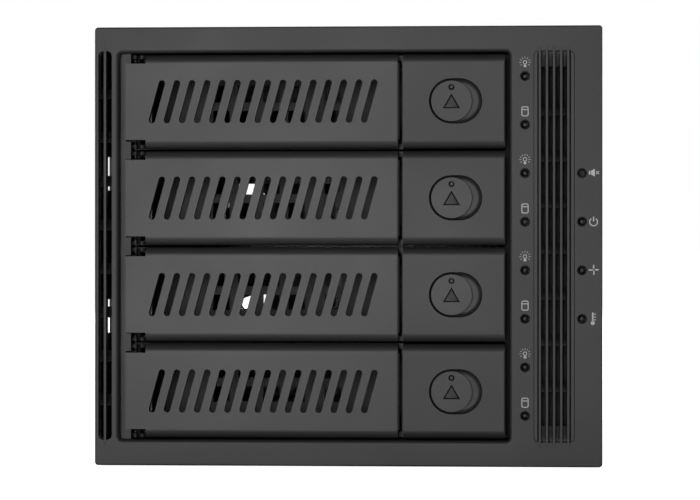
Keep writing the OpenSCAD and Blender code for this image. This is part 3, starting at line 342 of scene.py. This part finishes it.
# Bevel width in millimetres for the nodes whose edges show and that have no thin pierced walls
ROUNDED = {
    "side_vent_grille": 0.06,
    "front_vent_grille": 0.06,
    "data_ports": 0.20,
    "power_inlets": 0.25,
    "alarm_buzzer": 0.30,
    "fan_header": 0.15,
    "fan_screws": 0.15,
    "board_screws": 0.12,
}


WELD_DISTANCE = 0.002 * MM
FLAT_ANGLE = math.radians(0.5)
SHARP_ANGLE = math.radians(40)


def round_edges(piece, width):
    """Breaks the sharp edges of a CAD node with a small real bevel."""
    weld = piece.modifiers.new("weld", "WELD")
    weld.merge_threshold = WELD_DISTANCE
    flat = piece.modifiers.new("flats", "DECIMATE")
    flat.decimate_type = "DISSOLVE"
    flat.angle_limit = FLAT_ANGLE
    bevel = piece.modifiers.new("edge", "BEVEL")
    bevel.width = width * MM
    bevel.segments = 2
    bevel.limit_method = "ANGLE"
    bevel.angle_limit = SHARP_ANGLE
    bevel.use_clamp_overlap = False
    shading = piece.modifiers.new("shading", "WEIGHTED_NORMAL")
    shading.weight = 100


for entry in frame["record"]["subparts"]:
    piece = frame["nodes"][entry["node"]]
    piece.data.materials.clear()
    piece.data.materials.append(LOOKS[entry["material_slot"]])
    if entry["node"] in ROUNDED:
        round_edges(piece, ROUNDED[entry["node"]])


# ------------------------------------------------------------------ latch springs

SPRING_WIRE = 0.28 * MM
SPRING_TURNS = 6.5
SPRING_STEPS = 24
# Share of the length by which the turns draw together towards each end
SPRING_CLOSED = 0.06
WIRE_SIDES = 10


def coil_mesh(name, start, length, radius):
    """Round wire wound about X from start, with its turns drawn together towards each end."""
    mesh = bmesh.new()
    count = round(SPRING_TURNS * SPRING_STEPS)
    rings = []
    for i in range(count + 1):
        t = i / count
        along = t - SPRING_CLOSED * math.sin(math.tau * t)
        angle = math.tau * SPRING_TURNS * t
        outward = Vector((0, math.cos(angle), math.sin(angle)))
        centre = start + Vector((SPRING_WIRE + along * (length - 2 * SPRING_WIRE), 0, 0)) + outward * radius
        ring = []
        for j in range(WIRE_SIDES):
            b = math.tau * j / WIRE_SIDES
            offset = outward * math.cos(b) + Vector((math.sin(b), 0, 0))
            ring.append(mesh.verts.new(centre + offset * SPRING_WIRE))
        rings.append(ring)
    for one, two in zip(rings, rings[1:]):
        for j in range(WIRE_SIDES):
            k = (j + 1) % WIRE_SIDES
            mesh.faces.new((one[j], one[k], two[k], two[j])).smooth = True
    mesh.faces.new(rings[0])
    mesh.faces.new(list(reversed(rings[-1])))
    bmesh.ops.recalc_face_normals(mesh, faces=mesh.faces[:])
    data = bpy.data.meshes.new(name)
    mesh.to_mesh(data)
    mesh.free()
    return data


def latch_spring(row):
    """Coil between a latch and its stop, wound rigid at its rest length and carried with the tray."""
    low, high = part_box(f"latch_spring_{row}")
    middle = (low + high) / 2
    length = high.x - low.x
    start = Vector((low.x, middle.y, middle.z))
    data = coil_mesh(f"coil_{row}", start, length, (high.z - low.z) / 2 - SPRING_WIRE)
    piece = bpy.data.objects.new(f"coil_{row}", data)
    collection.objects.link(piece)
    data.materials.append(LOOKS["pin_steel"])
    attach(piece, f"tray_{row}")
    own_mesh(piece)
    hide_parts(f"latch_spring_{row}")


for row in ROWS:
    latch_spring(row)


# ------------------------------------------------------------------ printed icons

INK_RAISE = 0.02 * MM
INK_THICK = 0.03 * MM


class Print:
    """Flat shapes of ink on the bezel face, drawn in millimetres about a centre in X and Z."""

    def __init__(self, name, x, z):
        self.name = name
        self.x = x
        self.z = z
        self.mesh = bmesh.new()

    def vertex(self, point):
        return self.mesh.verts.new((self.x + point[0] * MM, face_y - INK_RAISE, self.z + point[1] * MM))

    def shape(self, points):
        """A closed outline, wound either way."""
        self.mesh.faces.new([self.vertex(point) for point in points])

    def bar(self, start, end, width):
        """A straight stroke."""
        a, b = Vector(start), Vector(end)
        side = (b - a).normalized().orthogonal() * width / 2
        self.shape([a + side, b + side, b - side, a - side])

    def arc(self, centre, radius, width, start=0.0, end=360.0, steps=28):
        """A curved stroke; a whole ring is closed on itself."""
        whole = abs(end - start) >= 360
        angles = [math.radians(start + (end - start) * i / steps) for i in range(steps + (0 if whole else 1))]
        rings = []
        for r in (radius - width / 2, radius + width / 2):
            points = [(centre[0] + r * math.cos(a), centre[1] + r * math.sin(a)) for a in angles]
            rings.append([self.vertex(point) for point in points])
        count = len(angles)
        for i in range(count if whole else count - 1):
            k = (i + 1) % count
            self.mesh.faces.new((rings[0][i], rings[0][k], rings[1][k], rings[1][i]))

    def disc(self, centre, radius, steps=24):
        angles = [math.tau * i / steps for i in range(steps)]
        self.shape([(centre[0] + radius * math.cos(a), centre[1] + radius * math.sin(a)) for a in angles])

    def done(self):
        """Gives the ink its thickness and puts it on the cage."""
        bmesh.ops.recalc_face_normals(self.mesh, faces=self.mesh.faces[:])
        for face in self.mesh.faces:
            if face.normal.y > 0:
                face.normal_flip()
        data = bpy.data.meshes.new(self.name)
        self.mesh.to_mesh(data)
        self.mesh.free()
        piece = bpy.data.objects.new(self.name, data)
        collection.objects.link(piece)
        solid = piece.modifiers.new("ink", "SOLIDIFY")
        solid.thickness = INK_THICK
        solid.offset = -1
        data.materials.append(INK)
        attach(piece, "cage")
        return piece


def bulb(name, x, z):
    p = Print(name, x, z)
    glass_z = 0.08
    ray_start, ray_end = 1.05, 1.62
    p.arc((0, glass_z), 0.50, 0.20)
    p.shape([(-0.26, -0.42), (0.26, -0.42), (0.26, -0.66), (-0.26, -0.66)])
    p.shape([(-0.42, -0.74), (0.42, -0.74), (0.36, -1.28), (-0.36, -1.28)])
    for i in range(9):
        a = math.radians(-34 + 31 * i)
        ends = [(r * math.cos(a), glass_z + r * math.sin(a)) for r in (ray_start, ray_end)]
        p.bar(*ends, 0.13)
    p.done()


def disk_stack(name, x, z):
    p = Print(name, x, z)
    line = 0.27
    half_w, half_h, corner = 0.90, 1.30, 0.45
    for side in (-1, 1):
        p.bar((side * half_w, corner - half_h), (side * half_w, half_h - corner), line)
        p.bar((corner - half_w, side * half_h), (half_w - corner, side * half_h), line)
    for turn, (sx, sz) in enumerate(((1, 1), (-1, 1), (-1, -1), (1, -1))):
        centre = (sx * (half_w - corner), sz * (half_h - corner))
        p.arc(centre, corner, line, start=90 * turn, end=90 * turn + 90, steps=6)
    p.bar((-half_w, 0.50), (half_w, 0.50), line)
    p.done()


def speaker_off(name, x, z):
    p = Print(name, x, z)
    p.shape([(-1.45, -0.52), (-1.00, -0.52), (-1.00, 0.52), (-1.45, 0.52)])
    p.shape([(-0.85, -0.52), (0.25, -1.12), (0.25, 1.12), (-0.85, 0.52)])
    p.bar((0.62, -0.40), (1.40, 0.40), 0.30)
    p.bar((0.62, 0.40), (1.40, -0.40), 0.30)
    p.done()


def power_sign(name, x, z):
    p = Print(name, x, z)
    p.arc((0, -0.15), 1.12, 0.30, start=125, end=415)
    p.bar((0, 0.0), (0, 1.35), 0.34)
    p.done()


def fan_sign(name, x, z):
    p = Print(name, x, z)
    for i in range(4):
        a = math.radians(90 * i + 8)
        b = math.radians(90 * i - 6)
        root = 0.16
        p.shape(
            [
                (root * math.cos(a + 1.2), root * math.sin(a + 1.2)),
                (0.85 * math.cos(a + 0.16), 0.85 * math.sin(a + 0.16)),
                (1.45 * math.cos(a), 1.45 * math.sin(a)),
                (1.40 * math.cos(b), 1.40 * math.sin(b)),
                (root * math.cos(a - 1.2), root * math.sin(a - 1.2)),
            ]
        )
    p.disc((0, 0), 0.26)
    p.done()


def thermometer(name, x, z):
    p = Print(name, x, z)
    p.bar((-0.15, -1.05), (-0.15, 1.72), 0.42)
    p.disc((-0.15, -1.30), 0.58)
    for height in (1.25, 0.42, -0.40):
        p.bar((0.12, height), (0.78, height), 0.24)
    p.done()


# Height of the two bay icons above their lamps, in millimetres
BULB_RISE = 3.85
DISK_RISE = 3.78
# Name, drawing, place down the lamp column, and offset from that lamp in millimetres
SIGNS = (
    ("icon_speaker_off", speaker_off, 2, 3.42, 0.12),
    ("icon_power", power_sign, 3, 3.30, 0.08),
    ("icon_fan", fan_sign, 4, 3.35, 0.12),
    ("icon_thermometer", thermometer, 5, 3.20, 0.12),
)

pipes_low, pipes_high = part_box("bay_light_pipes")
lamp_x = (pipes_low.x + pipes_high.x) / 2
lamp_radius = (pipes_high.x - pipes_low.x) / 2
lamp_top = pipes_high.z - lamp_radius
lamp_step = (pipes_high.z - pipes_low.z - 2 * lamp_radius) / (2 * len(ROWS) - 1)
status_low, status_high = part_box("status_light_pipes")
status_x = (status_low.x + status_high.x) / 2
for row in ROWS:
    bulb(f"icon_bulb_{row}", lamp_x, lamp_top - (2 * row - 2) * lamp_step + BULB_RISE * MM)
    disk_stack(f"icon_disk_{row}", lamp_x, lamp_top - (2 * row - 1) * lamp_step + DISK_RISE * MM)
for name, draw, place, across, up in SIGNS:
    draw(name, status_x + across * MM, lamp_top - place * lamp_step + up * MM)


# ------------------------------------------------------------------ stage


FLOOR_SIZE = 30.0
FLOOR_GAP = 0.4 * MM


def pale_floor():
    """Pale floor that the camera sees as white and that throws back a softer light."""
    m = Nodes("floor")
    m.set(Roughness=0.9, Specular_IOR_Level=0.1, Emission_Color=(1, 1, 1, 1))
    spread = m.noise(0.5, detail=2)
    tint = m.mix(spread, "Fac", (0.58, 0.58, 0.58), (0.62, 0.62, 0.62))
    m.tree.links.new(tint, m.bsdf.inputs["Base Color"])
    path = m.add("ShaderNodeLightPath")
    m.join(path, "Is Camera Ray", m.bsdf, "Emission Strength")
    data = bpy.data.meshes.new("floor")
    corners = [(FLOOR_SIZE * sx, FLOOR_SIZE * sy, 0) for sx, sy in ((-1, -1), (1, -1), (1, 1), (-1, 1))]
    data.from_pydata(corners, [], [(0, 1, 2, 3)])
    floor = bpy.data.objects.new("floor", data)
    floor.location.z = cad_box[0].z - FLOOR_GAP
    collection.objects.link(floor)
    data.materials.append(m.material)


ROOM_LIGHT = 0.05


def white_room():
    """White behind the object for the camera, and a faint even light on it."""
    world = bpy.data.worlds.new("room")
    scene.world = world
    world.use_nodes = True
    tree = world.node_tree
    tree.nodes.clear()
    output = tree.nodes.new("ShaderNodeOutputWorld")
    seen = tree.nodes.new("ShaderNodeBackground")
    lit = tree.nodes.new("ShaderNodeBackground")
    choose = tree.nodes.new("ShaderNodeMixShader")
    path = tree.nodes.new("ShaderNodeLightPath")
    seen.inputs["Color"].default_value = (1, 1, 1, 1)
    seen.inputs["Strength"].default_value = 1.0
    lit.inputs["Color"].default_value = (1, 1, 1, 1)
    lit.inputs["Strength"].default_value = ROOM_LIGHT
    tree.links.new(path.outputs["Is Camera Ray"], choose.inputs["Fac"])
    tree.links.new(lit.outputs["Background"], choose.inputs[1])
    tree.links.new(seen.outputs["Background"], choose.inputs[2])
    tree.links.new(choose.outputs["Shader"], output.inputs["Surface"])


def softbox(name, place, target, size, power):
    data = bpy.data.lights.new(name, "AREA")
    data.shape = "DISK"
    data.size = size
    data.energy = power
    lamp = bpy.data.objects.new(name, data)
    collection.objects.link(lamp)
    lamp.location = place
    lamp.rotation_mode = "QUATERNION"
    lamp.rotation_quaternion = (Vector(target) - Vector(place)).to_track_quat("-Z", "Y")
    lamp.visible_camera = False


def around(azimuth, elevation, distance):
    """A place seen from the middle of the face; azimuth 0 is straight in front, positive towards +X."""
    turn, rise = math.radians(azimuth), math.radians(elevation)
    flat = distance * math.cos(rise)
    return (flat * math.sin(turn), face_y - flat * math.cos(turn), middle_z + distance * math.sin(rise))


# Soft lights: name, place, disc size in metres and power in watts
SOFTBOXES = (
    ("key", around(-6.5, 2, 0.75), 0.24, 2.1),
    ("side", around(38, 24, 1.1), 0.5, 1.9),
    ("fill", around(-55, 12, 1.2), 0.6, 1.0),
    ("over", (0.1, 0.45, 1.5), 1.0, 8),
    ("left", (-1.3, 0.30, 0.5), 0.8, 9),
    ("right", (1.3, 0.30, 0.5), 0.8, 9),
    ("behind", (-0.5, 1.4, 0.5), 0.9, 14),
)


def studio():
    for name, place, size, power in SOFTBOXES:
        softbox(name, place, (0, face_y, middle_z), size, power)


CAMERA_DISTANCE = 0.700
CAMERA_TURN = math.radians(2.93)
SENSOR_WIDTH = 36.0
FOCAL_LENGTH = 125.4
# Shift of the picture across and up, as shares of its width
CAMERA_SHIFT = (0.0039, -0.0053)


def camera():
    data = bpy.data.cameras.new("camera")
    data.sensor_width = SENSOR_WIDTH
    data.lens = FOCAL_LENGTH
    data.shift_x, data.shift_y = CAMERA_SHIFT
    data.clip_start = 0.01
    data.clip_end = 100
    view = bpy.data.objects.new("camera", data)
    collection.objects.link(view)
    across = CAMERA_DISTANCE * math.sin(CAMERA_TURN)
    back = CAMERA_DISTANCE * math.cos(CAMERA_TURN)
    view.location = (across, face_y - back, middle_z)
    view.rotation_euler = (math.pi / 2, 0, CAMERA_TURN)
    scene.camera = view


pale_floor()
white_room()
studio()
camera()
scene.view_settings.view_transform = "Standard"
scene.view_settings.look = "None"
